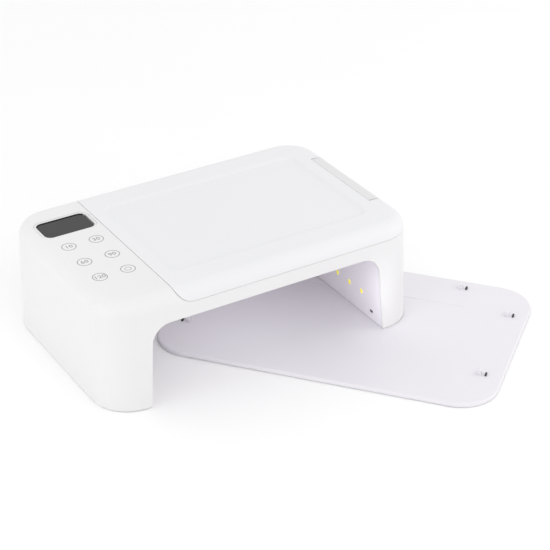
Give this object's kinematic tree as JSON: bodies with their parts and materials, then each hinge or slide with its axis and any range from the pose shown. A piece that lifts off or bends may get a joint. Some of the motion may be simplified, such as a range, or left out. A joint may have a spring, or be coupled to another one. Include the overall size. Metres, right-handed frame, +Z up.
{
  "type": "nail curing lamp",
  "caption": "Bench lamp that cures nail gel in a wide hand tunnel, with a padded hand rest and touch panel on top, a fold-out handle and a loose base plate.",
  "frame": {"origin": "on the floor under the middle of the lamp and the loose plate together", "axes": "+X along the lamp from its control panel to its handle, +Y from the tunnel's mouth to the back, +Z up"},
  "size_m": [0.4449, 0.3658, 0.113],
  "materials": {
    "housing_white": "satin injection-moulded white",
    "hand_rest": "soft satin white silicone skin",
    "liner": "bright reflective white",
    "handle_grey": "satin pale grey",
    "plate_white": "satin white",
    "foot_rubber": "matte translucent white",
    "bezel": "pale grey",
    "lcd_smoke": "gloss smoked",
    "print_grey": "printed line",
    "pcb_white": "white solder mask",
    "pcb_green": "green solder mask",
    "led_yellow": "phosphor yellow",
    "black_plastic": "black",
    "steel": "bright",
    "aluminium": "bare",
    "cell_wrap": "blue shrink wrap",
    "board_grey": "grey"
  },
  "bodies": {
    "lamp": {"outer_housing": "housing_white", "hand_rest_pad": "hand_rest", "pad_backing_board": "board_grey", "arch_liner": "liner", "underside_cover": "housing_white", "cover_screws": "steel", "liner_screws": "steel", "lamp_feet": "foot_rubber", "lcd_bezel": "bezel", "lcd_gasket": "black_plastic", "lcd_window": "lcd_smoke", "lcd_module": "black_plastic", "touch_rings": "print_grey", "power_icon": "print_grey", "touch_springs": "steel", "control_board": "pcb_green", "control_chips": "black_plastic", "buzzer": "black_plastic", "led_board_left": "pcb_white", "led_board_right": "pcb_white", "led_board_top": "pcb_white", "led_board_back": "pcb_white", "led_beads_left": "led_yellow", "led_beads_right": "led_yellow", "led_beads_top": "led_yellow", "led_beads_back": "led_yellow", "led_ribbons": "pcb_white", "ir_windows": "black_plastic", "ir_boards": "pcb_green", "driver_board": "pcb_green", "driver_parts": "black_plastic", "heat_sink": "aluminium", "battery_cells": "cell_wrap", "battery_tray": "board_grey", "battery_strap": "black_plastic", "dc_jack": "black_plastic", "dc_jack_board": "pcb_green", "handle_pocket": "housing_white", "handle_pins": "steel"},
    "handle": {"carry_handle": "handle_grey"},
    "plate": {"base_plate": "plate_white", "plate_hooks": "plate_white", "plate_inserts": "black_plastic", "plate_feet": "foot_rubber"}
  },
  "joints": [
    {"name": "plate_slide", "type": "slide", "parent": "lamp", "child": "plate", "axis": [0, -1, 0], "range_m": [0, 0.24]},
    {"name": "handle_hinge", "type": "hinge", "parent": "lamp", "child": "handle", "pos_m": [0.09869, 0.07387, 0.05914], "axis": [0, 1, 0], "range_deg": [0, 90]}
  ]
}
